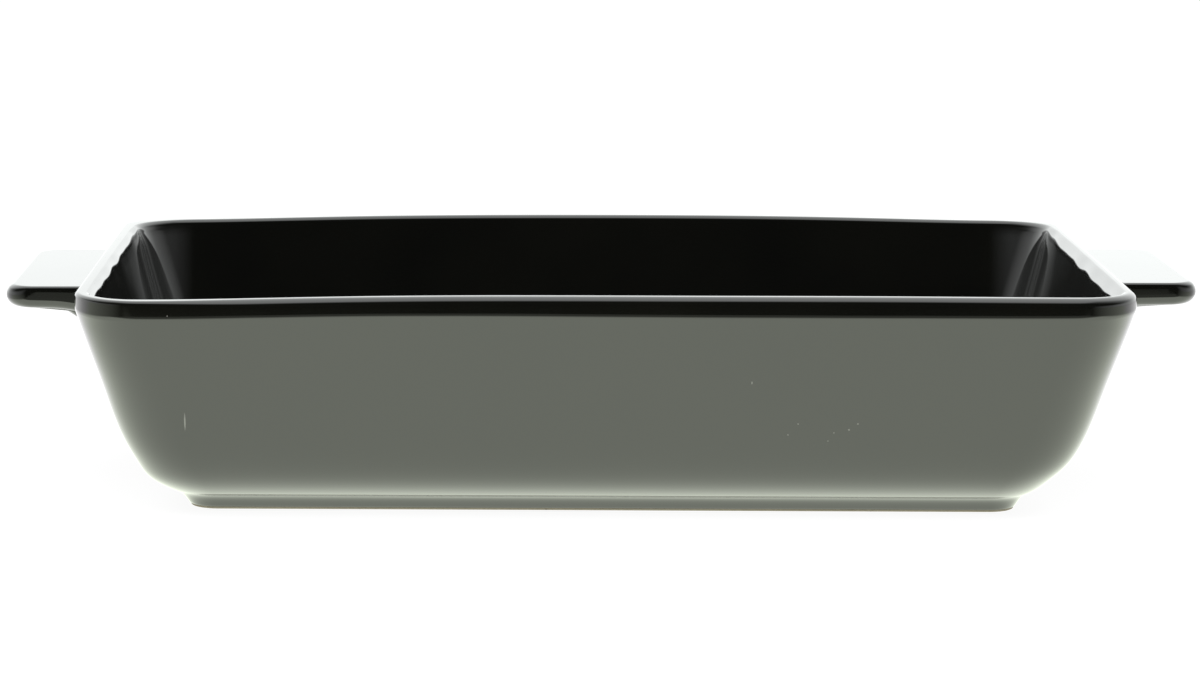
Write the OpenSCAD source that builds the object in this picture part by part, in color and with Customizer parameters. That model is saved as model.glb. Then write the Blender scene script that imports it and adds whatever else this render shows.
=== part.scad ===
// Rectangular oven dish of glazed stoneware, as fired. The walls lean outwards from a rounded heel to a
// thick rounded rim, the short ends carry flat ledge handles, and a low foot ring holds the base off the
// table. Millimetres, +Z up, long side along X, standing on Z = 0 and centred on the origin.

/* [Dish] */
// Length over the rim, without the handles
rim_l = 320; // [260:1:400]
// Width over the rim
rim_w = 205; // [160:1:280]
// Height from the table to the top of the rim
dish_h = 70; // [62:1:90]
// Plan radius of the outer corners at the rim
corner_r = 20; // [16:1:36]
// Plan radius of the inner corners just under the rim
inner_corner_r = 20; // [10:0.5:26]
// How much wider all corners get for each unit that the wall comes in
corner_share = 0.18; // [0:0.01:0.6]

/* [Wall and floor] */
// Lean of the outer wall from upright, in degrees
wall_lean = 15.9; // [8:0.1:22]
// Level thickness of the wall where it leaves the heel
wall_t = 6.8; // [5:0.1:9]
// Thickness of the floor
floor_t = 7; // [5:0.1:10]
// How far the heel draws in inside the dish
inner_heel_in = 18; // [8:0.1:26]

/* [Heel] */
// Height of the heel, from the crease over the foot to where the wall runs straight
heel_h = 33.3; // [26:0.1:38]
// How far the heel's curve under the ends would draw in, if it ran on until it lay level
heel_in = 20.9; // [14:0.1:26]
// Share of that curve's height that is there before the foot cuts it off
heel_cut_share = 0.933; // [0.86:0.001:0.96]
// Fullness of that curve: 2 is an ellipse, and more is squarer
heel_power = 2.5; // [1.8:0.1:3]
// How far the heel draws in under the long walls
side_heel_in = 10.2; // [6:0.1:14]
// How late it turns in there: 2 is an even curve, and more keeps the wall straight for longer
side_heel_power = 6.2; // [2:0.1:8]
// How much tighter the corners get for each unit that the end heel draws in
heel_corner_share = 0.83; // [0:0.01:1]

/* [Rim] */
// Thickness of the rim, seen from above
rim_t = 6.2; // [5.8:0.1:9]
// Height of the upright band that ends the wall
rim_h = 5.3; // [3.6:0.1:9]
// Radius of the rim's two top edges
rim_round = 2.8; // [1:0.1:3]

/* [Handles] */
// How far a handle stands out from the rim
handle_reach = 25.5; // [16:0.5:40]
// Width of a handle along the short side
handle_w = 92; // [60:1:110]
// Thickness of the ledge at its outer edge
handle_t = 6.8; // [5:0.1:9]
// Radius of the tight rounding above that edge
ledge_top_r = 1.3; // [0.6:0.1:2]
// Radius of the fuller rounding below it
ledge_low_r = 2.7; // [1:0.1:3]
// How far the top of the ledge lies above the lower edge of the rim's band
handle_over = 1.2; // [0.5:0.1:2.4]
// Plan radius of the outer corners of a handle
handle_r = 8; // [6:0.5:20]
// How much thicker the ledge gets on its way in to the wall
ledge_fall = 1.2; // [0:0.1:2]
// Step between the ledge's underside and the root, at its sides and its end
ledge_draft = 0.4; // [0.2:0.1:2]
// How far the root swells down the wall below the ledge
root_h = 17; // [5:0.5:18]
// How far the root reaches out from the wall before it runs into the ledge
root_reach = 14; // [5:0.5:14]
// How far the root draws in at each side towards its lower end
root_in = 4; // [0.5:0.5:10]

/* [Foot] */
// Height of the foot ring
foot_h = 5.4; // [3.4:0.1:6.4]
// Width of the foot ring where it joins the base
foot_w = 13; // [11:0.5:16]
// Step between the end of the heel and the foot ring
foot_step = 0.2; // [0.1:0.1:3]
// How far the foot's outer side tapers in evenly towards the table
foot_taper = 3.6; // [1:0.1:4]
// How far it flares out on top of that, all close under the heel
foot_flare = 1.8; // [0.2:0.1:2.4]
// How close under the heel the flare stays: more is closer
foot_flare_power = 5; // [2:0.5:8]
// How far the foot's inner side tapers towards the table
foot_inner_taper = 2.2; // [0.5:0.1:2.6]
// Least plan radius of the foot's inner corners
foot_inner_r = 3; // [1:0.5:8]
// Radius of the foot ring's lower edges
foot_round = 0.8; // [0.4:0.1:1.2]

/* [Hidden] */

glaze = [0.09, 0.09, 0.08];
corner_steps = 12;
heel_steps = 16;
inner_heel_steps = 11;
foot_steps = 6;
edge_steps = 5;
root_steps = 8;
ledge_steps = 7;
handle_corner_steps = 8;
// The heel's rings crowd towards the crease by this power of their share of its height
heel_crowd_share = 1.5;
// The root's feather edge stops at this thickness, and its corners take this share of its reach
root_lip = 0.6;
root_corner_share = 0.5;

rim_z = dish_h - rim_h;
shoulder_z = dish_h - rim_round;
heel_z = foot_h + heel_h;
floor_z = foot_h + floor_t;
ledge_z = rim_z + handle_over - handle_t;
// Levels of the ledge closer than this to the foot of the rim's band give way to it
level_gap = 0.15;

// Insets are measured level, from the upright band of the rim to the straight stretch of each wall face.
function outer_inset(z) = (rim_z - z) * tan(wall_lean);
inner_slope = (outer_inset(heel_z) + wall_t - rim_t) / (shoulder_z - heel_z);
function inner_inset(z) = rim_t + (shoulder_z - z) * inner_slope;

// A level ring of the dish at height z, with corners of radius r. Its outline is drawn in by an inset, which
// is a pair: how far from the ends, and how far from the long sides.
function ring(inset, r, z) = [
    for (corner = [0 : 3], step = [0 : corner_steps])
        let (
            side_x = corner == 0 || corner == 3 ? 1 : -1,
            side_y = corner < 2 ? 1 : -1,
            angle = 90 * (corner + step / corner_steps)
        )
        [
            side_x * (rim_l / 2 - inset.x - r) + r * cos(angle),
            side_y * (rim_w / 2 - inset.y - r) + r * sin(angle),
            z
        ]
];
function both(inset) = [inset, inset];
// Outer and inner rings of the straight walls, which the heel draws in further.
function outer_ring(z, draw = [0, 0]) =
    let (inset = outer_inset(z))
    ring(both(inset) + draw, corner_r + corner_share * inset - heel_corner_share * draw.x, z);
function inner_ring(z, draw = 0) =
    let (inset = inner_inset(z))
    ring(both(inset + draw), inner_corner_r + corner_share * (inset - rim_t), z);
// The rim's two edges are rounded evenly round the corners, outside and inside.
function rim_out_ring(inset, z) = ring(both(inset), corner_r - inset, z);
function rim_in_ring(inset, z) = ring(both(inset), inner_corner_r + rim_t - inset, z);

// How far the heel draws in at height z: a superellipse under the ends, which the foot cuts off before it
// lies level, and a power curve under the long walls, which stay straight for longer and turn in sharply.
function heel_draw(z) =
    let (depth = (heel_z - z) / heel_h)
    [
        heel_in * (1 - pow(1 - pow(depth * heel_cut_share, heel_power), 1 / heel_power)),
        side_heel_in * pow(depth, side_heel_power)
    ];
function outer_heel(share) =
    let (z = foot_h + heel_h * pow(share, heel_crowd_share))
    outer_ring(z, heel_draw(z));
// Inside, the heel is a quarter ellipse: turn 0 is its top, turn 90 the level floor.
function inner_heel(turn) =
    inner_ring(heel_z - (heel_z - floor_z) * sin(turn), inner_heel_in * (1 - cos(turn)));

// The foot's rings run in from the crease under the heel, and its outer side flares there.
foot_inset = both(outer_inset(foot_h) + foot_step) + heel_draw(foot_h);
foot_corner_r = corner_r + corner_share * outer_inset(foot_h) - heel_corner_share * heel_draw(foot_h).x;
function foot_ring_at(run, z) = ring(foot_inset + both(run), max(foot_corner_r - run, foot_inner_r), z);
function foot_run(z) = foot_taper * (1 - z / foot_h) + foot_flare * (1 - pow(z / foot_h, foot_flare_power));

// Triangles between ring k and ring next, each of n points, and the whole skin over a stack of rings.
function band(k, next, n) = [
    for (i = [0 : n - 1])
        let (j = (i + 1) % n)
        each [
            [k * n + i, next * n + i, next * n + j],
            [k * n + i, next * n + j, k * n + j]
        ]
];
module solid_loft(rings) {
    n = len(rings[0]);
    last = len(rings) - 1;
    sides = [for (k = [0 : last - 1]) each band(k, k + 1, n)];
    first_cap = [for (i = [0 : n - 1]) i];
    last_cap = [for (i = [n - 1 : -1 : 0]) last * n + i];
    polyhedron(points = [for (r = rings) each r], faces = concat(sides, [first_cap, last_cap]));
}
// The same skin for a stack that climbs outside, crosses over and comes down inside: it closes on itself.
module hoop_loft(rings) {
    n = len(rings[0]);
    last = len(rings) - 1;
    sides = [for (k = [0 : last]) each band(k, (k + 1) % (last + 1), n)];
    polyhedron(points = [for (r = rings) each r], faces = sides);
}

// Floor and heel: one thick tray up to where the walls run straight.
module base() {
    color(glaze)
    solid_loft(concat(
        [for (k = [0 : heel_steps]) outer_heel(k / heel_steps)],
        [for (k = [0 : inner_heel_steps]) inner_heel(90 * k / inner_heel_steps)]
    ));
}

// The four leaning sides, much the same thickness from the rim down to the heel.
module wall() {
    color(glaze)
    hoop_loft([outer_ring(heel_z), outer_ring(rim_z), inner_ring(rim_z), inner_ring(heel_z)]);
}

// The upright band that ends the wall, with both top edges rounded over.
module rim() {
    color(glaze)
    hoop_loft(concat(
        [outer_ring(rim_z)],
        [for (k = [0 : edge_steps])
            let (turn = 90 * k / edge_steps)
            rim_out_ring(rim_round * (1 - cos(turn)), shoulder_z + rim_round * sin(turn))],
        [for (k = [edge_steps : -1 : 0])
            let (turn = 90 * k / edge_steps)
            rim_in_ring(rim_t - rim_round * (1 - cos(turn)), shoulder_z + rim_round * sin(turn))],
        [inner_ring(rim_z)]
    ));
}

// An outline of a handle: it starts and ends on the dish's outer face and has two round outer corners. That
// face is the leaning wall, and above it the rim's upright band. A fall lowers the outline towards the wall.
function handle_outline(end_x, half_w, r, z, fall = 0) =
    let (
        face_x = rim_l / 2 - max(outer_inset(z), 0),
        tip_x = rim_l / 2 + handle_reach
    )
    [for (p = concat(
        [[face_x - fall * tan(wall_lean), -half_w]],
        [for (side = [-1, 1], step = [0 : handle_corner_steps])
            let (angle = (side - 1) * 45 + 90 * step / handle_corner_steps)
            [end_x - r + r * cos(angle), side * (half_w - r) + r * sin(angle)]],
        [[face_x - fall * tan(wall_lean), half_w]]
    )) [p.x, p.y, z - fall * min((tip_x - p.x) / handle_reach, 1)]];

// The root hollows out along a quarter ellipse: turn 0 is its feather edge, turn 90 its end under the ledge.
function root_outline(turn) =
    let (
        z = ledge_z - ledge_draft - root_h * (1 - sin(turn)),
        reach = root_lip + root_reach * (1 - cos(turn))
    )
    handle_outline(
        rim_l / 2 - outer_inset(z) + reach,
        handle_w / 2 - ledge_low_r - ledge_draft - root_in * (1 - sin(turn)),
        min(handle_r - ledge_low_r, root_corner_share * reach),
        z,
        ledge_fall
    );
// The ledge draws in by its two roundings, below and above its upright edge.
function rounding(r, depth) = r - sqrt(max(pow(r, 2) - pow(max(depth, 0), 2), 0));
function ledge_outline(z, fall = 0) =
    let (
        low = rounding(ledge_low_r, ledge_z + ledge_low_r - z),
        high = rounding(ledge_top_r, z - ledge_z - handle_t + ledge_top_r),
        draw = max(low, high)
    )
    handle_outline(rim_l / 2 + handle_reach - draw, handle_w / 2 - draw, handle_r - draw, z, fall);
low_levels = [for (k = [0 : ledge_steps]) ledge_z + ledge_low_r * (1 - cos(90 * k / ledge_steps))];
top_levels = [for (k = [0 : edge_steps]) ledge_z + handle_t - ledge_top_r * (1 - sin(90 * k / edge_steps))];

// A flat ledge just below the rim, thickening and then swelling into the wall underneath. One of its levels
// is the foot of the rim's band, where the dish's outer face changes from leaning to upright.
module right_handle() {
    color(glaze)
    solid_loft(concat(
        [for (k = [0 : root_steps]) root_outline(90 * k / root_steps)],
        [for (z = low_levels) ledge_outline(z, ledge_fall)],
        [for (z = top_levels) if (z < rim_z - level_gap) ledge_outline(z)],
        [ledge_outline(rim_z)],
        [for (z = top_levels) if (z > rim_z + level_gap) ledge_outline(z)]
    ));
}

module left_handle() {
    mirror([1, 0, 0])
    right_handle();
}

// The low ring that the dish stands on: it flares out under the heel and tapers to a flat standing face.
module foot_ring() {
    inner_low = foot_w - foot_inner_taper * (1 - foot_round / foot_h);
    color(glaze)
    hoop_loft(concat(
        [for (k = [0 : edge_steps])
            let (turn = 90 * k / edge_steps)
            foot_ring_at(foot_run(foot_round) + foot_round * (1 - sin(turn)), foot_round * (1 - cos(turn)))],
        [for (k = [1 : foot_steps])
            let (z = foot_round + (foot_h - foot_round) * sin(90 * k / foot_steps))
            foot_ring_at(foot_run(z), z)],
        [foot_ring_at(foot_w, foot_h)],
        [for (k = [edge_steps : -1 : 0])
            let (turn = 90 * k / edge_steps)
            foot_ring_at(inner_low - foot_round * (1 - sin(turn)), foot_round * (1 - cos(turn)))]
    ));
}

base();
wall();
rim();
left_handle();
right_handle();
foot_ring();
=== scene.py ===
import math

import bmesh
import bpy
import numpy as np
from mathutils import Matrix, Vector


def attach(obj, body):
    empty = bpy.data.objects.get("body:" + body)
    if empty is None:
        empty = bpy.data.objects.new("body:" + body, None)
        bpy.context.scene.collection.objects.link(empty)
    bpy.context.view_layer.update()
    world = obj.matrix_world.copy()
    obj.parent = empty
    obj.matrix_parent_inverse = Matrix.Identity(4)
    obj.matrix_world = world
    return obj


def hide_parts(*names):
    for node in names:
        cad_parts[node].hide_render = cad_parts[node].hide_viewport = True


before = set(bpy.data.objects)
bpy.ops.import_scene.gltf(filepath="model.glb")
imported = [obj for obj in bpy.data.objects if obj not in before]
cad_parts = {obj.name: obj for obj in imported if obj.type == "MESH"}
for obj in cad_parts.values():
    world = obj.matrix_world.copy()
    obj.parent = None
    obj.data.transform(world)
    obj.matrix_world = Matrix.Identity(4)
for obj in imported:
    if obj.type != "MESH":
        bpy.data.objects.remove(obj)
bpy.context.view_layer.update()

mm = 0.001  # all sizes below are in millimetres, and Blender works in metres


def tangent(degrees):
    return math.tan(math.radians(degrees))


# How far a value has come from begin to end, from 0 to 1.
def between(value, begin, end):
    return np.clip((value - begin) / (end - begin), 0, 1)


# sRGB hex to linear: c / 12.92 below 0.04045, and ((c + 0.055) / 1.055) ^ 2.4 above it.
def linearColour(hexCode):
    parts = [int(hexCode[i:i + 2], 16) / 255 for i in (1, 3, 5)]
    return tuple(c / 12.92 if c <= 0.04045 else ((c + 0.055) / 1.055) ** 2.4 for c in parts) + (1.0,)


# One node: settings are attributes or input values by name, links are inputs by name to feed.
def addNode(tree, kind, settings=None, links=None):
    made = tree.nodes.new(kind)
    for name, value in (settings or {}).items():
        if name == "stops":  # a ramp's places and levels
            while len(made.color_ramp.elements) < len(value):
                made.color_ramp.elements.new(1.0)
            for stop, (place, level) in zip(made.color_ramp.elements, value):
                stop.position = place
                stop.color = (level, level, level, 1)
        elif isinstance(name, int) or name in made.inputs:
            made.inputs[name].default_value = value
        else:
            setattr(made, name, value)
    for name, source in (links or {}).items():
        tree.links.new(source, made.inputs[name])
    return made


# Skins an array of rows x points x 3, in mm, round its closed rows. Row k joins row k + 1. A pole closes an
# end row on its mean point, and hoop joins the last row to the first.
def gridPiece(name, rows, firstPole=True, lastPole=True, hoop=False):
    count, around = rows.shape[:2]
    points = rows.reshape(-1, 3)
    row = np.arange(count if hoop else count - 1)[:, None]
    i = np.arange(around)[None, :]
    j = (i + 1) % around
    nextRow = (row + 1) % count
    quads = np.stack([row * around + i, row * around + j, nextRow * around + j, nextRow * around + i], -1)
    faces = quads.reshape(-1, 4).tolist()
    ring = np.arange(around)
    if firstPole and not hoop:
        points = np.vstack([points, rows[0].mean(0)])
        pole = len(points) - 1
        faces += np.stack([np.roll(ring, -1), ring, ring * 0 + pole], -1).tolist()
    if lastPole and not hoop:
        points = np.vstack([points, rows[-1].mean(0)])
        pole = len(points) - 1
        last = (count - 1) * around + ring
        faces += np.stack([last, np.roll(last, -1), ring * 0 + pole], -1).tolist()
    mesh = bpy.data.meshes.new(name)
    mesh.from_pydata((points * mm).tolist(), [], faces)
    mesh.update()
    piece = bpy.data.objects.new(name, mesh)
    bpy.context.scene.collection.objects.link(piece)
    return piece


# Merges the points that fall together, such as the two sides of a row drawn in to a line.
def sew(piece):
    work = bmesh.new()
    work.from_mesh(piece.data)
    bmesh.ops.remove_doubles(work, verts=work.verts, dist=0.004 * mm)
    bmesh.ops.dissolve_degenerate(work, edges=work.edges, dist=0.002 * mm)
    bmesh.ops.recalc_face_normals(work, faces=work.faces)
    work.to_mesh(piece.data)
    work.free()
    piece.data.polygons.foreach_set("use_smooth", np.ones(len(piece.data.polygons), bool))
    piece.data.update()


# Angles from start to end in degrees, as radians, with steps intervals.
def arc(start, end, steps, skipFirst=False):
    angles = np.radians(np.linspace(start, end, steps + 1))
    return angles[1:] if skipFirst else angles


# What a user would change about the dish, in mm and degrees. A pair says where a change begins and where it
# is complete: along x or y, or for endWall how far in from the end.
dish = {
    # as in the solids
    "length": 320, "width": 205, "height": 70, "cornerRadius": 20, "cornerShare": 0.18,
    "wallLean": 15.9, "wallThick": 6.8, "floorThick": 7, "innerHeelIn": 18,
    "heelHeight": 33.3, "heelIn": 20.9, "heelCutShare": 0.933, "heelPower": 2.5,
    "sideHeelIn": 10.2, "sideHeelPower": 6.2, "heelCornerShare": 0.83,
    "rimThick": 6.2, "rimHeight": 5.3, "rimRound": 2.8,
    "footHeight": 5.4, "footWide": 13, "footStep": 0.2, "footTaper": 3.6, "footFlare": 1.8,
    "footFlarePower": 5, "footInnerTaper": 2.2, "footInnerCorner": 3, "footRound": 0.8,
    # the lip's inner edge, tall along the ends and tight along the sides, and its corners
    "innerEdge": 6, "sideEdge": 1.4, "tallEdge": (86, 62), "tallShift": 14, "endWall": (18, 6),
    "innerCorner": 18, "frontCorner": 12, "frontFrom": (-40, -75), "innerHeelCorner": 0.1,
    # the sharper outer edge of the left end, and the eased edge under the rim's band
    "leftRound": 1.4, "leftFrom": (-104, -142), "bandEdge": 6,
    # the foot's fillet, crease and glaze, whose edge is eased, runs into the clay and rises there
    "footFillet": 1.2, "creaseHeight": 0.2, "glazeLine": 0.7, "glazeThick": 0.3, "glazeEdge": (0.1, 0.5, 0.2),
    "bareTop": 0.9, "floorSag": 0.5,
    # how finely it is drawn, and how much closer the heel's rows lie near the crease: 1 is even
    "longSteps": 48, "shortSteps": 120, "cornerSteps": 24, "filletSteps": 5, "footSteps": 16,
    "heelSteps": 30, "heelCrowding": 1.5, "wallSteps": 8, "bandSteps": 8, "rimSteps": 14,
    "innerEdgeSteps": 26, "innerWallSteps": 11, "innerHeelSteps": 20, "middleSteps": 6,
}
# How the clay moved in the kiln, in mm: one end stands higher, the long sides rise unevenly along x, and each
# handle is lifted and flares down at its root. The places, where the ends and the front begin, and how far
# past the end it goes on, are shares of half the length or width.
warp = {
    "tilt": 0.93, "places": (-0.84, -0.62, -0.41, -0.2, 0.02, 0.23, 0.45, 0.66, 0.87),
    "frontRise": (-0.85, -0.16, 0.3, 0.6, 0.5, 0.42, 0.28, 0.14, -0.14),
    "backRise": (-0.25, 0.55, 1.08, 1.48, 1.46, 1.3, 0.88, 0.2, -0.55), "risePower": 1.5,
    "bandDrop": (0.34, 0.06, 0.42, 0.62, 0.6, 0.76, 0.86, 0.76, 0.4), "bandSpread": 3.5, "bandReach": 1.5,
    "degree": 6, "endShare": 0.3, "endFrom": (0.55, 0.9), "frontFrom": (0.9, 0.96), "past": 1.2,
    "leftHandle": 0.1, "rightHandle": 1.35, "leftFlare": 1.0, "rightFlare": 0.0, "rightFall": 0.8,
    "waist": (-0.45, 38, 13), "heelShift": (-1.4, 9.5, 4.5),
}

rimZ = dish["height"] - dish["rimHeight"]
heelZ = dish["footHeight"] + dish["heelHeight"]
floorZ = dish["footHeight"] + dish["floorThick"]
shoulderZ = dish["height"] - dish["rimRound"]


# How far the outer face lies inside the rim's band: (rimZ - z) tan(lean).
def outerInset(z):
    return (rimZ - z) * tangent(dish["wallLean"])


innerSlope = (outerInset(heelZ) + dish["wallThick"] - dish["rimThick"]) / (shoulderZ - heelZ)


# The same for the inner face: rim thickness + (shoulder's z - z) slope.
def innerInset(z):
    return dish["rimThick"] + (shoulderZ - z) * innerSlope


def outerRadius(inset):
    return dish["cornerRadius"] + dish["cornerShare"] * inset


def innerRadius(inset, corner):
    past = inset - dish["rimThick"]
    return corner + dish["cornerShare"] * np.maximum(past, 0) - np.minimum(past, 0)


# With s = (heelZ - z) / h, the heel draws the ends in by a superellipse that is cut off before it lies
# level, d (1 - (1 - (c s)^p)^(1/p)), and the long sides by a power curve, d s^p. Its corners turn tighter by
# a share of the first.
def heelRing(z):
    power, depth = dish["heelPower"], (heelZ - np.asarray(z, float)) / dish["heelHeight"]
    ends = dish["heelIn"] * (1 - (1 - (dish["heelCutShare"] * depth) ** power) ** (1 / power))
    sides = dish["sideHeelIn"] * depth ** dish["sideHeelPower"]
    inset = outerInset(z)
    return inset + ends, inset + sides, outerRadius(inset) - dish["heelCornerShare"] * ends


footEnds, footSides, footCorner = (float(v) for v in heelRing(dish["footHeight"]))


# The foot's sides as runs in from the crease under the heel. With u = z / foot height, the outer one tapers
# and flares out towards the heel, taper (1 - u) + flare (1 - u^p), and the inner one only tapers.
def footOuter(z):
    u = z / dish["footHeight"]
    flare = dish["footFlare"] * (1 - u ** dish["footFlarePower"])
    return dish["footStep"] + dish["footTaper"] * (1 - u) + flare


def footInner(z):
    return dish["footStep"] + dish["footWide"] - dish["footInnerTaper"] * (1 - z / dish["footHeight"])


# A smooth curve through values given at places along x: a polynomial fitted to them and to a share of the
# outermost ones at x = -1 and 1.
def alongX(values, across):
    places = [-1, *warp["places"], 1]
    levels = [values[0] * warp["endShare"], *values, values[-1] * warp["endShare"]]
    return np.polyval(np.polyfit(places, levels, warp["degree"]), np.clip(across, -1, 1))


# The kiln's warp, growing with height: z + z / H (tilt x / a + rise(x) |y / b|^p). The ends' waist moves
# outwards and their heel sideways, by size exp(-((z - at) / spread)^2), and the lower edge of the front's
# band drops by drop(x) exp(-((z - rimZ) / spread)^2).
def fired(points):
    x, y, z = points[..., 0], points[..., 1], points[..., 2]
    across = np.clip(x / (dish["length"] / 2), -warp["past"], warp["past"])
    side = y / (dish["width"] / 2)
    rise = np.where(side > 0, alongX(warp["backRise"], across), alongX(warp["frontRise"], across))
    rise = rise * np.abs(side) ** warp["risePower"]
    moved = points.copy()
    moved[..., 2] = z + z / dish["height"] * (warp["tilt"] * across + rise)
    toEnd = between(np.abs(across), *warp["endFrom"]) ** 2
    for (size, at, spread), sign in ((warp["waist"], np.sign(x)), (warp["heelShift"], 1)):
        moved[..., 0] += sign * size * toEnd * np.exp(-((z - at) / spread) ** 2)
    front = between(-side, *warp["frontFrom"]) * (z < rimZ + warp["bandReach"])
    drop = alongX(warp["bandDrop"], across) * np.exp(-((z - rimZ) / warp["bandSpread"]) ** 2)
    moved[..., 2] -= front * drop
    return moved


# The way round a rounded rectangle: side signs that run from one corner to the next along each side, and
# the angle of the outward normal, which only turns at the corners.
def pathSigns():
    signX, signY, angle = [], [], []
    corners = [(1, 1), (-1, 1), (-1, -1), (1, -1)]
    turn = np.linspace(0, 90, dish["cornerSteps"] + 1)
    for k, (sx, sy) in enumerate(corners):
        nextX, nextY = corners[(k + 1) % 4]
        straight = dish["longSteps"] if k % 2 == 0 else dish["shortSteps"]
        even = np.arange(1, straight) / straight
        along = even / 2 + (1 - np.cos(np.pi * even)) / 4  # spaced closer near the corners
        signX += [np.full(len(turn), sx), sx + (nextX - sx) * along]
        signY += [np.full(len(turn), sy), sy + (nextY - sy) * along]
        angle += [90 * k + turn, np.full(len(along), 90 * (k + 1))]
    return np.concatenate(signX), np.concatenate(signY), np.radians(np.concatenate(angle))


# Carries a profile of (inset of the ends, inset of the long sides, corner radius, z) round the rounded
# rectangle: x = sx (a - ends - r) + r cos(angle), y = sy (b - sides - r) + r sin(angle).
def sweep(profile):
    sx, sy, angle = pathSigns()
    ends, sides, radius, z = (profile[:, k][:, None] for k in range(4))
    x = sx * (dish["length"] / 2 - ends - radius) + radius * np.cos(angle)
    y = sy * (dish["width"] / 2 - sides - radius) + radius * np.sin(angle)
    return np.stack([x, y, z + 0 * x], -1)


def stack(ends, sides, radius, z):
    return np.stack(np.broadcast_arrays(*(np.asarray(v, float) for v in (ends, sides, radius, z))), -1)


# The foot's rings keep their distance round the corners, but the innermost corners stay round.
def footRing(run, z):
    run = np.asarray(run, float)
    return stack(footEnds + run, footSides + run, np.maximum(footCorner - run, dish["footInnerCorner"]), z)


# From the recess under the base, down into the foot, up the outside, over the rim and down inside, with the
# number of rows that are outside.
def dishProfile(rimRound, innerTall, innerCorner):
    footH, line, skin, top = dish["footHeight"], dish["glazeLine"], dish["glazeThick"], dish["height"]
    fillet, cornerR = dish["footFillet"], dish["cornerRadius"]
    eased, tuckIn, tuckUp = dish["glazeEdge"]
    # inner side of the foot: a fillet from the recess, down to the glaze's rolled edge, and into the clay
    turn = arc(0, 90, dish["filletSteps"])
    z = np.linspace(footH - fillet, line + skin, dish["filletSteps"] - 1)[1:]
    inner = [
        footRing(footInner(footH) + fillet * (1 - np.sin(turn)), footH - fillet * (1 - np.cos(turn))),
        footRing(footInner(z), z),
        footRing([footInner(line) - eased, footInner(line) - skin - tuckIn], [line, line + tuckUp]),
    ]
    # outer side of the foot, from the clay out to the rolled edge and up to the crease
    z = line + skin + (footH - dish["creaseHeight"] - line - skin) * np.sin(arc(0, 90, dish["footSteps"]))
    outer = [
        footRing([footOuter(line) + skin + tuckIn, footOuter(line) + eased], [line + tuckUp, line]),
        footRing(footOuter(z), z),
    ]
    # heel up from the crease
    z = footH + (heelZ - footH) * np.linspace(0, 1, dish["heelSteps"]) ** dish["heelCrowding"]
    heel = stack(*heelRing(z), z)
    # wall up to the band, and the edge between them eased by an arc, with a little space around its rows
    ease, space = dish["bandEdge"] * tangent(dish["wallLean"] / 2), 0.1
    z = np.linspace(heelZ, rimZ - (1 + space) * ease, dish["wallSteps"] + 1)[1:]
    inset = outerInset(z)
    wall = stack(inset, inset, outerRadius(inset), z)
    turn = arc(dish["wallLean"], 0, dish["bandSteps"])
    inset = dish["bandEdge"] * (1 - np.cos(turn))
    edge = stack(inset, inset, cornerR, rimZ + ease - dish["bandEdge"] * np.sin(turn))
    band = stack(0, 0, cornerR, np.linspace(rimZ + ease + space, top - rimRound - space, 5))
    # the outer top edge: a quarter circle
    turn = arc(0, 90, dish["rimSteps"])
    inset = rimRound * (1 - np.cos(turn))
    rimOut = stack(inset, inset, cornerR - inset, top - rimRound * (1 - np.sin(turn)))
    # the inner edge, with u its share of the way up: inset(z) - wide (1 - sqrt(1 - u^2))
    z = top - dish["innerEdge"] * (1 - np.sin(arc(90, 0, dish["innerEdgeSteps"])))
    up = between(z, top - innerTall, top)
    wide = min(innerInset(top) - dish["rimThick"] + dish["rimRound"], innerTall)
    inset = innerInset(z) - wide * (1 - np.sqrt(1 - up ** 2))
    rimIn = stack(inset, inset, innerRadius(inset, innerCorner), z)
    # inner wall, and the inner heel as a quarter ellipse down to the floor
    z = np.linspace(top - dish["innerEdge"], heelZ, dish["innerWallSteps"] + 1)[1:]
    inset = innerInset(z)
    innerWall = stack(inset, inset, innerRadius(inset, innerCorner), z)
    turn = arc(0, 90, dish["innerHeelSteps"], True)
    z = heelZ - (heelZ - floorZ) * np.sin(turn)
    draw = dish["innerHeelIn"] * (1 - np.cos(turn))
    radius = innerRadius(innerInset(z), innerCorner) - dish["innerHeelCorner"] * draw
    innerHeel = stack(innerInset(z) + draw, innerInset(z) + draw, radius, z)
    outside = np.vstack(inner + outer + [heel, wall, edge, band, rimOut])
    return np.vstack([outside, rimIn, innerWall, innerHeel]), len(outside)


# The slight unevenness of a poured and sponged wall, in mm. Each wave gives its height, its lengths over 2 pi
# along x, y and z, its start, and the length and start of a second wave along z that it is multiplied by.
# All of it grows between the two heights of from.
endless = math.inf
unevenness = {
    "depth": 0.06, "from": (8, 28),
    "waves": (
        (1 / 3, 9.7, endless, endless, 0.6, 14, 0.4), (0.8 / 3, 17.3, 21, endless, 2.1, endless, 0),
        (0.7 / 3, endless, 11.9, endless, 1.1, 11, 1.9), (0.5 / 3, 6.9, -6.9, 13, 0, endless, 0)),
    "beadDepth": 0.07, "beadMiddle": 3, "beadSpread": 7, "beadLength": 7.3, "beadSway": (1.3, 19),
    "smallBead": (0.4, 4.1, 1.7),
}


# The sum of the waves: h sin(x / lx + y / ly + z / lz + s) cos(z / l + t).
def ripple(points):
    x, y, z = points[..., 0], points[..., 1], points[..., 2]
    return sum(
        height * np.sin(x / lengthX + y / lengthY + z / lengthZ + start) * np.cos(z / upwards + second)
        for height, lengthX, lengthY, lengthZ, start, upwards, second in unevenness["waves"])


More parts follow.
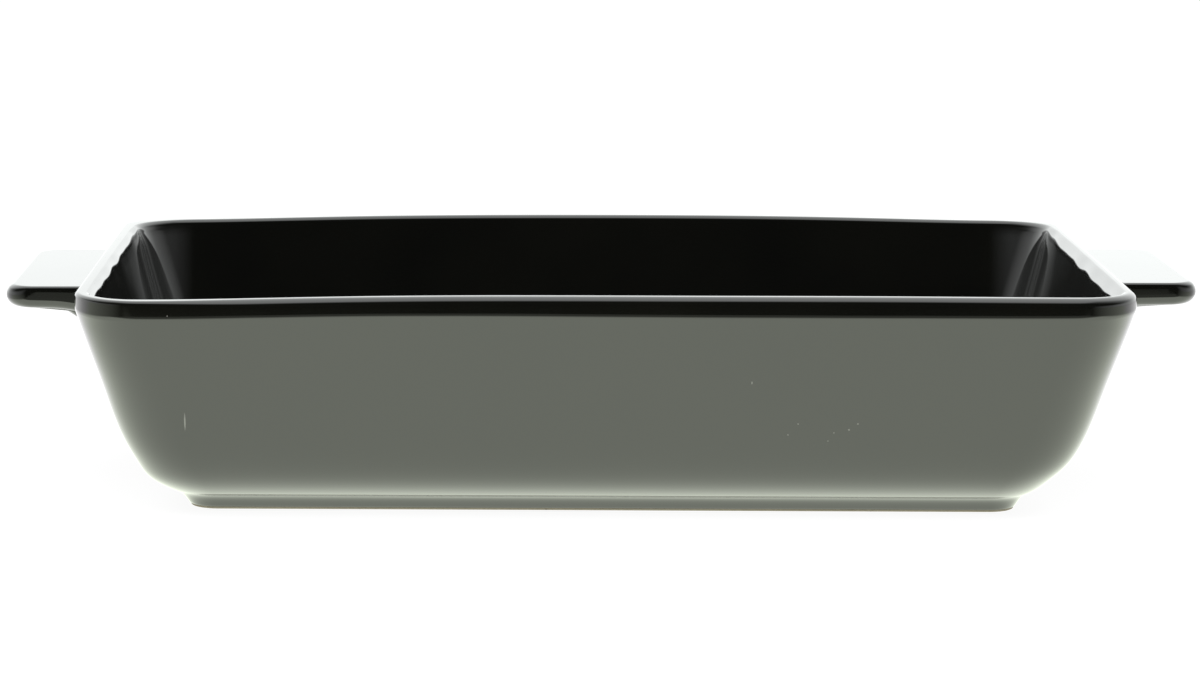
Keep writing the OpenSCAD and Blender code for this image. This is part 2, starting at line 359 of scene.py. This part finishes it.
# The lip's inner edge, where the glaze gathered in soft beads: sin(y / l + sway sin(y / lSway)) and a smaller
# wave, fading by exp(-((z - middle) / spread)^2), on the inner side only.
def beads(points, inner):
    y, z = points[..., 1], points[..., 2]
    sway, swayLength = unevenness["beadSway"]
    share, length, start = unevenness["smallBead"]
    fade = np.exp(-((z - dish["height"] + unevenness["beadMiddle"]) / unevenness["beadSpread"]) ** 2) * inner
    large = np.sin(y / unevenness["beadLength"] + sway * np.sin(y / swayLength))
    return fade * (large + share * np.sin(y / length + start))


# 1 on the short ends, 0 on the long sides, and between them round the corners.
def endWall(points):
    return between(np.abs(points[..., 0]), *(dish["length"] / 2 - v for v in dish["endWall"]))


# Iron-black gloss glaze on stoneware, dipped and fired to about 1240 C. It is near black by itself, and what
# the eye sees is the room in it: a hard, deep gloss with the faint orange peel of a glaze that flowed. The
# chips and the scratch in the front wall are ellipses, each at (x, z) with half its width and height. A core
# is the share of a speck that has its full colour. Inside the ends the base colour is painted greyer: a
# painted sheen for the room's light that those walls reflect at a grazing angle. It grows over a span along x
# and a span down from the lip, both in mm.
glaze = {
    "dark": "#060706", "light": "#14140f", "grey": "#343534", "paintedSheenFrom": (137, 144), "paintedSheenBelow": (1, 5),
    "roughness": 0.05, "roughnessSpread": 0.03, "ior": 1.6, "coatRoughness": 0.03,
    "peelSize": 4.5, "peelDepth": 0.0016, "flowSize": 24, "flowDepth": 0.03, "cloudSize": 45,
    "pinholeCell": 16, "pinholeSize": 0.32, "pinholeShare": 0.30, "pinholeCore": 0.35, "pinhole": "#8a8a82",
    "chipCore": 0.4, "chipsBefore": -60,
    "chips": (
        (43.1, 44.1, 0.2, 0.6), (57.4, 31.1, 0.25, 0.25), (54.5, 27.6, 0.25, 0.25),
        (68.3, 28.3, 0.22, 0.22), (66.6, 25.7, 0.2, 0.2), (72.8, 29.3, 0.35, 0.3),
        (75.4, 31.2, 0.35, 0.25), (-130.8, 64.1, 0.25, 0.25), (-126.4, 30.8, 0.28, 3.2)),
}


# The dish's body in one skin: the swept profile, changed along the ends, at the left and in the front by
# smooth shares, 3 s^2 - 2 s^3, of other profiles.
def makeDish():
    rimRound, sideEdge, innerCorner = dish["rimRound"], dish["sideEdge"], dish["innerCorner"]
    profile, outerRows = dishProfile(rimRound, sideEdge, innerCorner)
    plain = sweep(profile)
    level = np.array([1, 1, 0])
    # the tall inner edge keeps to the ends, where it runs further towards the front corners
    fromMiddle = np.maximum(plain[..., 1], -plain[..., 1] - dish["tallShift"])
    fromMiddle = np.where(endWall(plain) > 0, fromMiddle, dish["width"])
    changes = (
        (fromMiddle, dish["tallEdge"], (rimRound, dish["innerEdge"], innerCorner)),
        (plain[..., 0], dish["leftFrom"], (dish["leftRound"], sideEdge, innerCorner)),
        (plain[..., 1], dish["frontFrom"], (rimRound, sideEdge, dish["frontCorner"])),
    )
    rows = plain
    for place, span, shape in changes:
        share = between(place, *span)[..., None]
        rows = rows + share ** 2 * (3 - 2 * share) * (sweep(dishProfile(*shape)[0]) - plain)
    # flat middle of the underside and of the floor: the end rows shrink inwards, and the floor sags a little
    share = np.linspace(0.04, 0.94, dish["middleSteps"])[:, None, None]
    under = rows[0] * level * share + (1 - level) * rows[0, 0, 2]
    share = share[::-1]
    inside = rows[-1] * level * share + (1 - level) * (floorZ - dish["floorSag"] * (1 - share ** 2))
    grid = np.concatenate([under, rows, inside])
    # the unevenness acts sideways from the middle, only above the foot
    lift = between(grid[..., 2:3], *unevenness["from"])
    sideways = grid * level
    sideways /= np.maximum(np.linalg.norm(sideways, axis=-1, keepdims=True), 1)
    inner = (np.arange(len(grid)) >= len(under) + outerRows)[:, None]
    inward = -unevenness["depth"] * (1 + ripple(grid)[..., None]) * lift
    inward -= unevenness["beadDepth"] * beads(grid, inner)[..., None] * endWall(grid)[..., None]
    made = gridPiece("glazed_dish", fired(grid + sideways * inward))
    # how far the painted sheen greys the glaze's base colour: inside, on the ends and their corners, and
    # below the lip
    grey = inner * between(dish["height"] - grid[..., 2], *glaze["paintedSheenBelow"])
    grey = grey * between(np.abs(grid[..., 0]), *glaze["paintedSheenFrom"])
    values = np.zeros(len(made.data.vertices))
    values[:grey.size] = grey.ravel()
    made.data.attributes.new("grey", "FLOAT", "POINT").data.foreach_set("value", values)
    sew(made)
    return made


# What a user would change about the ledge handles, in mm. The root's hollow is a little slimmer than in the
# solids. topRound and lowRound ease the long edge, and endTop and endLow its bull-nosed end. least keeps
# radii and fillets from vanishing.
handle = {
    "reach": 25.5, "wide": 92, "thick": 6.9, "over": 1.2, "cornerRadius": 8,
    "topRound": 1.1, "lowRound": 2.9, "endTop": 2.8, "endLow": 3.8, "fall": 0.5, "draft": 0.4, "flareWide": 6,
    "rootHeight": 15, "rootReach": 13.6, "rootSink": 0.5, "rootIn": 6, "rootCornerShare": 0.5,
    "sideFillet": 3.2, "filletShare": 0.45, "topFillet": 1.5, "faceSink": 0.25, "sink": 3.0,
    "spineShare": 0.96, "least": 0.1, "topCrowding": 1.3,
    "rootSteps": 22, "roundSteps": 14, "uprightSteps": 4, "topSteps": 29, "lowSteps": 4,
    "filletSteps": 9, "sideSteps": 8, "cornerSteps": 16, "endSteps": 26,
}
ledgeZ = rimZ + handle["over"] - handle["thick"]


# A level outline of the right handle, from the wall round its end and back: a hollow fillet out of the
# wall, a straight side, a round corner, the end, and the same mirrored. All arguments are columns.
def handleOutline(endX, faceX, halfWide, radius, fillet):
    turn = arc(0, 90, handle["filletSteps"])
    filletX = faceX + fillet * (1 - np.cos(turn))
    filletY = halfWide + fillet * (1 - np.sin(turn))
    side = np.linspace(0, 1, handle["sideSteps"] + 1)[1:]
    sideX = (faceX + fillet) * (1 - side) + (endX - radius) * side
    sideY = halfWide + 0 * sideX
    turn = arc(90, 0, handle["cornerSteps"], True)
    cornerX = endX - radius + radius * np.cos(turn)
    cornerY = halfWide - radius + radius * np.sin(turn)
    end = np.linspace(1, 0, handle["endSteps"] // 2 + 1)[1:]
    x = np.concatenate([filletX, sideX, cornerX, endX + 0 * end], 1)
    y = np.concatenate([filletY, sideY, cornerY, (halfWide - radius) * end], 1)
    x = np.concatenate([x, x[:, -2::-1]], 1)
    y = np.concatenate([-y, y[:, -2::-1]], 1)
    return x, y


# Rings from the root's feather edge up its hollow, along the underside, round the edge's two roundings with
# an upright between them, and over the top. What lies under the edge falls towards the wall, by fall times
# the share of the way in from the tip plus flare exp(-(distance to wall / width)^2). The last rows draw in to
# a line inside the wall.
def makeHandle(name, side, lift, flare, backFall):
    wallX, tipX = dish["length"] / 2, dish["length"] / 2 + handle["reach"]
    # the root: a hollow quarter ellipse in height and reach, wider as it rises
    turn = arc(0, 90, handle["rootSteps"])
    rootZ = ledgeZ - handle["draft"] - handle["rootHeight"] * (1 - np.sin(turn))
    reach = -handle["rootSink"] + handle["rootReach"] * (1 - np.cos(turn))
    rootEnd = wallX - outerInset(rootZ) + reach
    rootTop = handle["wide"] / 2 - handle["lowRound"] - handle["draft"]
    rootWide = rootTop - handle["rootIn"] * (1 - np.sin(turn))
    roundest = handle["cornerRadius"] - handle["lowRound"]
    rootRadius = np.clip(handle["rootCornerShare"] * reach, handle["least"], roundest)
    # the edge: two quarter circles and the upright
    low, high = arc(-90, 0, handle["roundSteps"]), arc(0, 90, handle["roundSteps"])
    lowZ = ledgeZ + handle["lowRound"] * (1 + np.sin(low))
    highZ = ledgeZ + handle["thick"] - handle["topRound"] * (1 - np.sin(high))
    edgeZ = np.linspace(lowZ[-1], highZ[0], handle["uprightSteps"] + 1)[1:-1]
    draw = np.concatenate([
        handle["lowRound"] * (1 - np.cos(low)), 0 * edgeZ, handle["topRound"] * (1 - np.cos(high))])
    z = np.concatenate([rootZ, lowZ, edgeZ, highZ])
    upright = np.linspace(1, 0, handle["uprightSteps"] + 1)[1:-1]
    falls = np.concatenate([rootZ * 0 + 1, lowZ * 0 + 1, upright, highZ * 0])[:, None]
    # the end is a bull nose: its draw is size (1 - sqrt(1 - u^2)), with u the height from its middle
    u = np.clip((z[len(rootZ):] - ledgeZ) / handle["thick"] * 2 - 1, -1, 1)
    size = np.where(u > 0, handle["endTop"], handle["endLow"])
    endX = np.concatenate([rootEnd, tipX - size * (1 - np.sqrt(1 - u ** 2))])
    halfWide = np.concatenate([rootWide, handle["wide"] / 2 - draw])
    radius = np.concatenate([rootRadius, handle["cornerRadius"] - draw])
    faceX = wallX - np.maximum(outerInset(z), 0)
    out = np.maximum(endX - faceX, handle["least"])
    fillet = np.minimum(handle["sideFillet"], out * handle["filletShare"])
    x, y = handleOutline(*(v[:, None] for v in (endX, faceX - handle["faceSink"], halfWide, radius, fillet)))
    inward = np.clip((tipX - x) / handle["reach"], 0, 1)
    near = np.maximum(x - wallX, 0) / handle["flareWide"]
    z = z[:, None] - falls * (handle["fall"] * inward + flare * np.exp(-near ** 2))
    spineX = (faceX - handle["sink"])[:, None] + 0 * x
    spineY = y * handle["spineShare"]
    # the underside is ruled between the root's last ring and the edge's first; the top draws in to the spine
    share = 1 - (1 - np.linspace(0, 1, handle["topSteps"] + 1)[1:, None]) ** handle["topCrowding"]
    topX = x[-1] + (spineX[-1] - x[-1]) * share
    topY = y[-1] + (spineY[-1] - y[-1]) * share
    # hollow fillet between the top and the rim's band: rise = r - sqrt(r^2 - (r - distance)^2)
    fillet = handle["topFillet"]
    near = np.clip(fillet - (topX - wallX), 0, fillet)
    topZ = z[-1, 0] + fillet - np.sqrt(np.maximum(fillet ** 2 - near ** 2, 0))
    share = np.linspace(0, 0.9, handle["lowSteps"])[:, None]
    lowX = spineX[0] + (x[0] - spineX[0]) * share
    lowY = spineY[0] + (y[0] - spineY[0]) * share
    x, y = np.concatenate([lowX, x, topX]), np.concatenate([lowY, y, topY])
    z = np.concatenate([z[:1] + 0 * lowX, z, topZ])
    # each ring closes along the spine, inside the wall
    repeats = [handle["lowSteps"] + 1] + [1] * (len(spineX) - 2) + [handle["topSteps"] + 1]
    spineX, spineY = np.repeat(spineX, repeats, 0), np.repeat(spineY, repeats, 0)
    rows = np.stack([
        np.concatenate([x, spineX[:, -2:0:-1]], 1),
        np.concatenate([y, spineY[:, -2:0:-1]], 1),
        np.concatenate([z, z[:, :1] + 0 * z[:, 1:-1]], 1),
    ], -1)
    rows[-1, :, 2] = z[-1].max()
    rows = fired(rows * np.array([side, 1, 1]))
    rows[..., 2] += lift - backFall * (rows[..., 1] / handle["wide"] + 0.5)
    if side < 0:
        rows = rows[:, ::-1]
    made = gridPiece(name, rows, firstPole=False, lastPole=False)
    sew(made)
    return made


# The wiped clay of the foot: a low hoop, rounded below by quarter circles, whose top is hidden in the glazed
# foot. Its sides go on down where the glazed ones end.
def makeBareFoot():
    line, skin, edge = dish["glazeLine"], dish["glazeThick"], dish["footRound"]
    outer = footOuter(line) + 0.5 * skin
    inner = footInner(line) - 0.5 * skin
    top = line + dish["bareTop"]
    turn = arc(0, 90, 8, True)
    out, up = edge * (1 - np.cos(turn)), edge * (1 - np.sin(turn))
    flat = np.linspace(outer + edge, inner - edge, 10)[1:-1]
    runs = np.concatenate([[outer, outer], outer + out, flat, inner - out[::-1], [inner, inner]])
    heights = np.concatenate([[top, edge], up, 0 * flat, up[::-1], [edge, top]])
    made = gridPiece("bare_foot", sweep(footRing(runs, heights))[::-1], hoop=True)
    sew(made)
    return made


glazedDish = makeDish()
leftHandle = makeHandle("left_ledge", -1, warp["leftHandle"], warp["leftFlare"], 0)
rightHandle = makeHandle("right_ledge", 1, warp["rightHandle"], warp["rightFlare"], warp["rightFall"])
bareFoot = makeBareFoot()
pieces = (glazedDish, leftHandle, rightHandle, bareFoot)
print("shapes made:", [(piece.name, len(piece.data.polygons)) for piece in pieces])


def makeGlaze():
    made = bpy.data.materials.new("iron_black_gloss_glaze_dipped")
    made.use_nodes = True
    tree = made.node_tree
    tree.nodes.clear()
    place = addNode(tree, "ShaderNodeTexCoord").outputs["Object"]
    cloud = addNode(tree, "ShaderNodeTexNoise", {
        "Scale": 1 / (glaze["cloudSize"] * mm), "Detail": 2.0}, {"Vector": place}).outputs["Fac"]
    tone = addNode(tree, "ShaderNodeMix", {
        "data_type": "RGBA", 6: linearColour(glaze["dark"]), 7: linearColour(glaze["light"])}, {0: cloud})
    # painted sheen: a greyer base colour inside the ends that stands for reflected room light, from the
    # piece's own attribute
    grey = addNode(tree, "ShaderNodeAttribute", {"attribute_name": "grey"})
    tone = addNode(tree, "ShaderNodeMix", {
        "data_type": "RGBA", 7: linearColour(glaze["grey"])}, {0: grey.outputs["Fac"], 6: tone.outputs[2]})
    # pinholes: some cells of a Voronoi pattern hold a speck of fired clay that shows where a bubble burst
    cells = addNode(tree, "ShaderNodeTexVoronoi", {
        "Scale": 1 / (glaze["pinholeCell"] * mm)}, {"Vector": place})
    lot = addNode(tree, "ShaderNodeSeparateColor", links={"Color": cells.outputs["Color"]})
    held = addNode(tree, "ShaderNodeMath", {
        "operation": "LESS_THAN", 1: glaze["pinholeShare"]}, {0: lot.outputs["Red"]})
    size = glaze["pinholeSize"] / glaze["pinholeCell"]
    speck = addNode(tree, "ShaderNodeMapRange", {
        "From Min": size, "From Max": glaze["pinholeCore"] * size}, {"Value": cells.outputs["Distance"]})
    pinhole = addNode(tree, "ShaderNodeMath", {
        "operation": "MULTIPLY"}, {0: speck.outputs[0], 1: held.outputs[0]})
    # the chips and the scratch: the distance to the nearest ellipse, in its own half widths
    nearest = None
    for x, z, wide, tall in glaze["chips"]:
        away = addNode(tree, "ShaderNodeVectorMath", {
            "operation": "MULTIPLY_ADD", 1: (1 / (wide * mm), 0, 1 / (tall * mm)),
            2: (-x / wide, 0, -z / tall)}, {0: place})
        away = addNode(tree, "ShaderNodeVectorMath", {"operation": "LENGTH"}, {0: away.outputs[0]})
        away = away.outputs["Value"]
        nearest = away if nearest is None else addNode(tree, "ShaderNodeMath", {
            "operation": "MINIMUM"}, {0: nearest, 1: away}).outputs[0]
    chip = addNode(tree, "ShaderNodeMapRange", {
        "From Min": 1.0, "From Max": glaze["chipCore"]}, {"Value": nearest})
    axes = addNode(tree, "ShaderNodeSeparateXYZ", links={"Vector": place})
    front = addNode(tree, "ShaderNodeMath", {
        "operation": "LESS_THAN", 1: glaze["chipsBefore"] * mm}, {0: axes.outputs["Y"]})
    pinhole = addNode(tree, "ShaderNodeMath", {
        "operation": "MULTIPLY_ADD"}, {0: chip.outputs[0], 1: front.outputs[0], 2: pinhole.outputs[0]})
    colour = addNode(tree, "ShaderNodeMix", {
        "data_type": "RGBA", 7: linearColour(glaze["pinhole"])}, {0: pinhole.outputs[0], 6: tone.outputs[2]})
    # the waves of a glaze that flowed, and on them its orange peel
    flow = addNode(tree, "ShaderNodeTexNoise", {
        "Scale": 1 / (glaze["flowSize"] * mm), "Detail": 1.0}, {"Vector": place})
    flowBump = addNode(tree, "ShaderNodeBump", {
        "Distance": glaze["flowDepth"] * mm}, {"Height": flow.outputs["Fac"]})
    peel = addNode(tree, "ShaderNodeTexNoise", {
        "Scale": 1 / (glaze["peelSize"] * mm), "Detail": 1.0}, {"Vector": place})
    peelBump = addNode(tree, "ShaderNodeBump", {"Distance": glaze["peelDepth"] * mm}, {
        "Height": peel.outputs["Fac"], "Normal": flowBump.outputs["Normal"]}).outputs["Normal"]
    roughest = glaze["roughness"] + glaze["roughnessSpread"]
    rough = addNode(tree, "ShaderNodeMapRange", {
        "To Min": glaze["roughness"], "To Max": roughest}, {"Value": cloud})
    shader = addNode(tree, "ShaderNodeBsdfPrincipled", {
        "IOR": glaze["ior"], "Coat Weight": 1.0, "Coat IOR": glaze["ior"],
        "Coat Roughness": glaze["coatRoughness"]}, {
        "Base Color": colour.outputs[2], "Roughness": rough.outputs["Result"],
        "Normal": peelBump, "Coat Normal": peelBump})
    addNode(tree, "ShaderNodeOutputMaterial", links={"Surface": shader.outputs["BSDF"]})
    return made


# Buff stoneware clay, wiped bare of glaze and fired: dry and matt, with grog that shows as fine grain and
# sparse iron specks. The grain is drawn at 0.7 mm, coarser than the real 0.2 mm, so that it shows at all.
clay = {
    "dark": "#857f6a", "light": "#a9a38c", "speck": "#3a2f26", "grain": 0.7, "grainDepth": 0.03,
    "speckCell": 3.5, "speckSize": 0.35, "speckCore": 0.4, "roughness": 0.86, "ior": 1.5,
}


def makeClay():
    made = bpy.data.materials.new("buff_stoneware_wiped_and_fired")
    made.use_nodes = True
    tree = made.node_tree
    tree.nodes.clear()
    place = addNode(tree, "ShaderNodeTexCoord").outputs["Object"]
    grain = addNode(tree, "ShaderNodeTexNoise", {
        "Scale": 1 / (clay["grain"] * mm), "Detail": 4.0}, {"Vector": place}).outputs["Fac"]
    tone = addNode(tree, "ShaderNodeMix", {
        "data_type": "RGBA", 6: linearColour(clay["dark"]), 7: linearColour(clay["light"])}, {0: grain})
    cells = addNode(tree, "ShaderNodeTexVoronoi", {
        "Scale": 1 / (clay["speckCell"] * mm)}, {"Vector": place})
    size = clay["speckSize"] / clay["speckCell"]
    speck = addNode(tree, "ShaderNodeMapRange", {
        "From Min": size, "From Max": clay["speckCore"] * size}, {"Value": cells.outputs["Distance"]})
    colour = addNode(tree, "ShaderNodeMix", {
        "data_type": "RGBA", 7: linearColour(clay["speck"])}, {0: speck.outputs[0], 6: tone.outputs[2]})
    bump = addNode(tree, "ShaderNodeBump", {
        "Strength": 1.0, "Distance": clay["grainDepth"] * mm}, {"Height": grain})
    shader = addNode(tree, "ShaderNodeBsdfPrincipled", {
        "Roughness": clay["roughness"], "IOR": clay["ior"]}, {
        "Base Color": colour.outputs[2], "Normal": bump.outputs["Normal"]})
    addNode(tree, "ShaderNodeOutputMaterial", links={"Surface": shader.outputs["BSDF"]})
    return made


glazeFinish = makeGlaze()
clayFinish = makeClay()
for piece in (glazedDish, leftHandle, rightHandle):
    piece.data.materials.append(glazeFinish)
    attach(piece, "root")
bareFoot.data.materials.append(clayFinish)
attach(bareFoot, "root")
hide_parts("base", "wall", "rim")
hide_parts("left_handle")
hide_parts("right_handle")
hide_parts("foot_ring")
print("finishes made")


# The room that the glaze mirrors. Levels are what a mirror would show, where 1 is white. Sizes are in mm, and
# darkTop and whiteTop are heights above the horizon in degrees. The stops of a ramp are places and shares.
studio = {
    "tableLevel": 1.3, "tableTint": "#f8ffee", "tintEnd": (-60, 60), "middleEdge": (-320, -228),
    "fanFrom": (160, -102), "fanSlope": (-2.0, 0.8), "fanPower": 1.5, "fanLevel": 0.7, "sideways": (270, 400),
    "beyond": (-545, -505), "beyondShare": 0.14,
    "floorWhite": 0.20, "floorGlow": 0.92, "floorSize": 12000,
    "roomLevel": 1.26, "roomTint": "#fcfffe", "roomDark": 0.014, "darkTop": 52, "whiteTop": 80,
    "lowStops": [(0.07, 0), (0.17, 0.21), (0.32, 0.33), (0.44, 0.47), (0.585, 0.58), (0.76, 0.72), (0.95, 1)],
    "highStops": [(0.0, 0), (0.357, 0), (0.464, 0.15), (0.636, 0.33), (0.893, 1)],
    "highFrom": (0.12, 0.38), "highSpan": (-0.2, 1.2),
    "worldFill": 0.45, "lampLevel": 1.4, "lampWide": 3200, "lampDeep": 2400, "lampHeight": 1300,
}


# A light table: plain white to the camera, with the dish's faint shadow. To a mirror it is lit up to its
# front edge in the middle, fades round a fan at the sides, and is a little lit again beyond the edge.
def makeFloor():
    half = studio["floorSize"] / 2
    corners = np.array([[-half, -half, 0], [half, -half, 0], [half, half, 0], [-half, half, 0]]) * mm
    mesh = bpy.data.meshes.new("table")
    mesh.from_pydata(corners.tolist(), [], [(0, 1, 2, 3)])
    floor = bpy.data.objects.new("table", mesh)
    bpy.context.scene.collection.objects.link(floor)
    made = bpy.data.materials.new("white_light_table")
    made.use_nodes = True
    tree = made.node_tree
    tree.nodes.clear()
    place = addNode(tree, "ShaderNodeTexCoord").outputs["Object"]
    axes = addNode(tree, "ShaderNodeSeparateXYZ", links={"Vector": place})
    begin, end = studio["middleEdge"]
    middle = addNode(tree, "ShaderNodeMapRange", {
        "From Min": begin * mm, "From Max": end * mm}, {"Value": axes.outputs["Y"]})
    # the fan goes by the slope (y - y0) / (|x| - x0), to a power
    fanX, fanY = studio["fanFrom"]
    away = addNode(tree, "ShaderNodeMath", {"operation": "ABSOLUTE"}, {0: axes.outputs["X"]})
    run = addNode(tree, "ShaderNodeMath", {"operation": "SUBTRACT", 1: fanX * mm}, {0: away.outputs[0]})
    run = addNode(tree, "ShaderNodeMath", {"operation": "MAXIMUM", 1: mm}, {0: run.outputs[0]})
    rise = addNode(tree, "ShaderNodeMath", {"operation": "SUBTRACT", 1: fanY * mm}, {0: axes.outputs["Y"]})
    slope = addNode(tree, "ShaderNodeMath", {"operation": "DIVIDE"}, {0: rise.outputs[0], 1: run.outputs[0]})
    begin, end = studio["fanSlope"]
    fan = addNode(tree, "ShaderNodeMapRange", {
        "From Min": begin, "From Max": end}, {"Value": slope.outputs[0]})
    fan = addNode(tree, "ShaderNodeMath", {
        "operation": "POWER", 1: studio["fanPower"]}, {0: fan.outputs[0]})
    fan = addNode(tree, "ShaderNodeMath", {
        "operation": "MULTIPLY", 1: studio["fanLevel"]}, {0: fan.outputs[0]})
    begin, end = studio["sideways"]
    sideways = addNode(tree, "ShaderNodeMapRange", {
        "interpolation_type": "SMOOTHSTEP", "From Min": begin * mm, "From Max": end * mm}, {
        "Value": away.outputs[0]})
    begin, end = studio["beyond"]
    beyond = addNode(tree, "ShaderNodeMapRange", {
        "From Min": begin * mm, "From Max": end * mm, "To Max": studio["beyondShare"]}, {
        "Value": axes.outputs["Y"]})
    ahead = addNode(tree, "ShaderNodeMath", {
        "operation": "MAXIMUM"}, {0: middle.outputs[0], 1: beyond.outputs[0]})
    share = addNode(tree, "ShaderNodeMix", links={
        0: sideways.outputs[0], 2: ahead.outputs[0], 3: fan.outputs[0]})
    level = addNode(tree, "ShaderNodeMapRange", {
        "To Min": studio["roomDark"], "To Max": studio["tableLevel"]}, {"Value": share.outputs[0]})
    white = addNode(tree, "ShaderNodeBsdfDiffuse", {"Color": (studio["floorWhite"],) * 3 + (1,)})
    glow = addNode(tree, "ShaderNodeEmission", {"Strength": studio["floorGlow"]})
    seen = addNode(tree, "ShaderNodeAddShader", links={0: white.outputs[0], 1: glow.outputs[0]})
    begin, end = studio["tintEnd"]
    plain = addNode(tree, "ShaderNodeMapRange", {
        "From Min": begin * mm, "From Max": end * mm}, {"Value": axes.outputs["Y"]})
    tint = addNode(tree, "ShaderNodeMix", {
        "data_type": "RGBA", 6: linearColour(studio["tableTint"]), 7: (1, 1, 1, 1)}, {0: plain.outputs[0]})
    mirrored = addNode(tree, "ShaderNodeEmission", links={
        "Color": tint.outputs[2], "Strength": level.outputs[0]})
    glossy = addNode(tree, "ShaderNodeLightPath").outputs["Is Glossy Ray"]
    byRay = addNode(tree, "ShaderNodeMixShader", links={
        0: glossy, 1: seen.outputs[0], 2: mirrored.outputs[0]})
    # from below the table is clear, so that the underside can be looked at
    clear = addNode(tree, "ShaderNodeBsdfTransparent")
    below = addNode(tree, "ShaderNodeNewGeometry").outputs["Backfacing"]
    whole = addNode(tree, "ShaderNodeMixShader", links={0: below, 1: byRay.outputs[0], 2: clear.outputs[0]})
    addNode(tree, "ShaderNodeOutputMaterial", links={"Surface": whole.outputs[0]})
    mesh.materials.append(made)


# One wide soft box overhead, of power pi x area x level in watts. Mirrors show the white room in its place.
def makeLamp():
    wide, deep, height = (studio[k] * mm for k in ("lampWide", "lampDeep", "lampHeight"))
    data = bpy.data.lights.new("top_soft_box", "AREA")
    data.shape = "RECTANGLE"
    data.size = wide
    data.size_y = deep
    data.energy = math.pi * wide * deep * studio["lampLevel"]
    lamp = bpy.data.objects.new("top_soft_box", data)
    bpy.context.scene.collection.objects.link(lamp)
    lamp.location = (0, 0, height)
    lamp.visible_camera = False
    lamp.visible_glossy = False


# White to the camera, a plain fill for matt surfaces, and for mirrors a white room with its dark side towards
# -Y: its level rises by the height of the ray, and by how far the ray turns away from -Y.
def makeWorld():
    world = bpy.data.worlds.new("studio_room")
    bpy.context.scene.world = world
    world.use_nodes = True
    tree = world.node_tree
    tree.nodes.clear()
    ray = addNode(tree, "ShaderNodeLightPath")
    fill = addNode(tree, "ShaderNodeBackground", {"Strength": studio["worldFill"]})
    place = addNode(tree, "ShaderNodeTexCoord").outputs["Generated"]
    axes = addNode(tree, "ShaderNodeSeparateXYZ", links={"Vector": place})
    above = addNode(tree, "ShaderNodeMapRange", {
        "interpolation_type": "SMOOTHSTEP", "From Min": math.sin(math.radians(studio["darkTop"])),
        "From Max": math.sin(math.radians(studio["whiteTop"]))}, {"Value": axes.outputs["Z"]})
    # near the horizon the level goes by y from -1 to 1, and higher up by y + z
    turned = addNode(tree, "ShaderNodeMapRange", {
        "From Min": -1.0, "From Max": 1.0}, {"Value": axes.outputs["Y"]})
    low = addNode(tree, "ShaderNodeValToRGB", {"stops": studio["lowStops"]}, {"Fac": turned.outputs[0]})
    total = addNode(tree, "ShaderNodeMath", {
        "operation": "ADD"}, {0: axes.outputs["Y"], 1: axes.outputs["Z"]})
    begin, end = studio["highSpan"]
    total = addNode(tree, "ShaderNodeMapRange", {
        "From Min": begin, "From Max": end}, {"Value": total.outputs[0]})
    high = addNode(tree, "ShaderNodeValToRGB", {"stops": studio["highStops"]}, {"Fac": total.outputs[0]})
    begin, end = studio["highFrom"]
    upwards = addNode(tree, "ShaderNodeMapRange", {
        "interpolation_type": "SMOOTHSTEP", "From Min": begin, "From Max": end}, {"Value": axes.outputs["Z"]})
    around = addNode(tree, "ShaderNodeMix", {"data_type": "RGBA"}, {
        0: upwards.outputs[0], 6: low.outputs["Color"], 7: high.outputs["Color"]})
    share = addNode(tree, "ShaderNodeMath", {
        "operation": "MAXIMUM"}, {0: above.outputs[0], 1: around.outputs[2]})
    level = addNode(tree, "ShaderNodeMapRange", {
        "To Min": studio["roomDark"], "To Max": studio["roomLevel"]}, {"Value": share.outputs[0]})
    room = addNode(tree, "ShaderNodeBackground", {
        "Color": linearColour(studio["roomTint"])}, {"Strength": level.outputs[0]})
    white = addNode(tree, "ShaderNodeBackground", {"Strength": 1.0})
    mirrored = addNode(tree, "ShaderNodeMixShader", links={
        0: ray.outputs["Is Glossy Ray"], 1: fill.outputs[0], 2: room.outputs[0]})
    direct = addNode(tree, "ShaderNodeMath", {"operation": "MAXIMUM"}, {
        0: ray.outputs["Is Camera Ray"], 1: ray.outputs["Is Transmission Ray"]})
    seen = addNode(tree, "ShaderNodeMixShader", links={
        0: direct.outputs[0], 1: mirrored.outputs[0], 2: white.outputs[0]})
    addNode(tree, "ShaderNodeOutputWorld", links={"Surface": seen.outputs[0]})


makeFloor()
makeLamp()
makeWorld()
print("studio made")


# Where the photograph was taken from, found by matching the rim, foot, handles and wall. The place is in mm,
# the focal length in pixels of the image's width, and the angles are in degrees.
camera = {
    "place": (-36.39, -1321.8, 239.06), "focal": 4155.0, "imageWide": 1200, "sensor": 36,
    "yaw": 1.5847, "pitch": 8.4215, "roll": 0.5595,
}


# Forward is (sin yaw cos pitch, cos yaw cos pitch, -sin pitch), and roll turns right and up about it.
def makeCamera():
    yaw, pitch, roll = (math.radians(camera[k]) for k in ("yaw", "pitch", "roll"))
    forward = Vector((math.sin(yaw) * math.cos(pitch), math.cos(yaw) * math.cos(pitch), -math.sin(pitch)))
    level = Vector((math.cos(yaw), -math.sin(yaw), 0))
    upright = level.cross(forward)
    right = math.cos(roll) * level + math.sin(roll) * upright
    up = -math.sin(roll) * level + math.cos(roll) * upright
    data = bpy.data.cameras.new("camera")
    data.sensor_width = camera["sensor"]
    data.lens = camera["focal"] / camera["imageWide"] * camera["sensor"]
    data.clip_start = 0.05
    data.clip_end = 50
    made = bpy.data.objects.new("camera", data)
    bpy.context.scene.collection.objects.link(made)
    turn = Matrix((right, up, -forward)).transposed().to_4x4()
    made.matrix_world = Matrix.Translation(Vector(camera["place"]) * mm) @ turn
    bpy.context.scene.camera = made


makeCamera()
bpy.context.scene.view_settings.view_transform = "Standard"
print("camera made")
